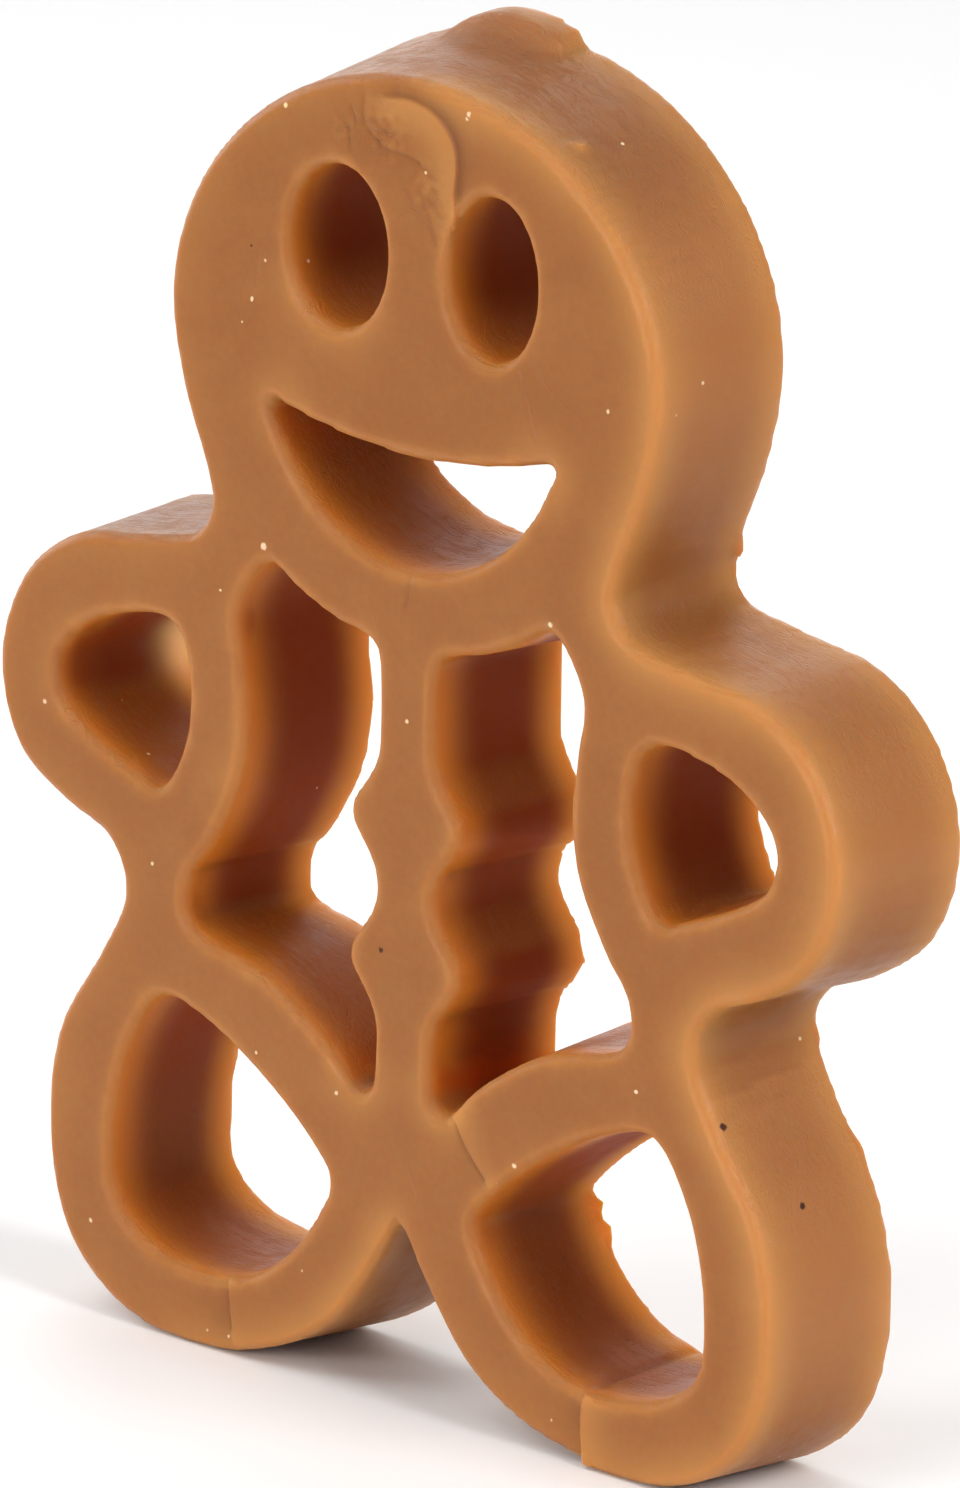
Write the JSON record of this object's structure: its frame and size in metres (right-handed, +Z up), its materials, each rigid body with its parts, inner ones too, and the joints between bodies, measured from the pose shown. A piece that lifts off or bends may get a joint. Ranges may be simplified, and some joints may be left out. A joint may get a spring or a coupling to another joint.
{
  "type": "gingerbread man chew treat",
  "caption": "Thick moulded caramel-brown chew in the shape of a gingerbread man: banded head, mitten arms and rounded legs, with through-holes for eyes, smile, arms, torso and legs.",
  "frame": {"origin": "middle of the figure's width and thickness, on the surface that its feet stand on", "axes": "+Z up from the feet to the head, face toward -Y, +X to the right of a person who looks at the face"},
  "size_m": [0.0922, 0.0138, 0.1103],
  "materials": {
    "chew": "satin, waxy and translucent"
  },
  "bodies": {
    "root": {"gingerbread_man": "chew"}
  },
  "joints": []
}
